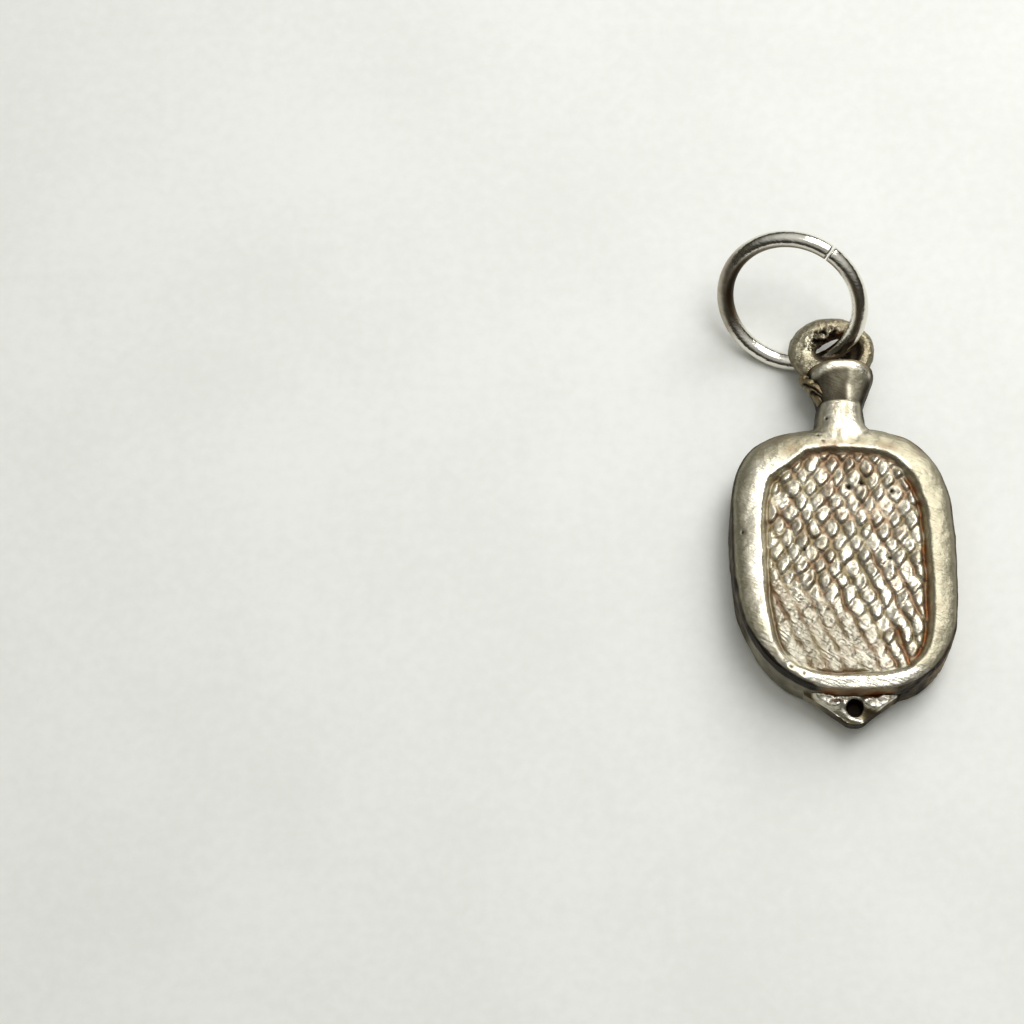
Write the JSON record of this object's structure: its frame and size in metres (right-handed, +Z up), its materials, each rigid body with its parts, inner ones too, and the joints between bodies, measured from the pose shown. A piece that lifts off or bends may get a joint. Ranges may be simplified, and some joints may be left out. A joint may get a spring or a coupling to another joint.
{
  "type": "hot water bottle charm",
  "caption": "Cast silver charm shaped like a hot water bottle, with a diamond-hatched recessed panel, a flared mouth, and a split jump ring threaded through its eye.",
  "frame": {"origin": "centre of the bounding box on the table plane, with the bottle lying on its back", "axes": "+Y from the bottle's hanging tab to its mouth, +X to the bottle's right seen from above, +Z up out of the hatched front"},
  "size_m": [0.0088, 0.0192, 0.005],
  "materials": {
    "cast_silver": "worn satin cast silver, bright on the crests and tarnished brown in the grooves",
    "eye_silver": "dull wire silver with a grainy skin from soldering",
    "solder": "lumpy solder, brown in its hollows",
    "ring_silver": "polished drawn silver wire"
  },
  "bodies": {
    "charm": {"bottle_casting": "cast_silver", "suspension_loop": "eye_silver", "loop_solder": "solder"},
    "ring": {"jump_ring": "ring_silver"}
  },
  "joints": [
    {"name": "ring_swing", "type": "hinge", "parent": "charm", "child": "ring", "pos_m": [0.00017, 0.00591, 0.00125], "axis": [0.742, 0.1442, 0.6547], "range_deg": [0, 88]}
  ]
}
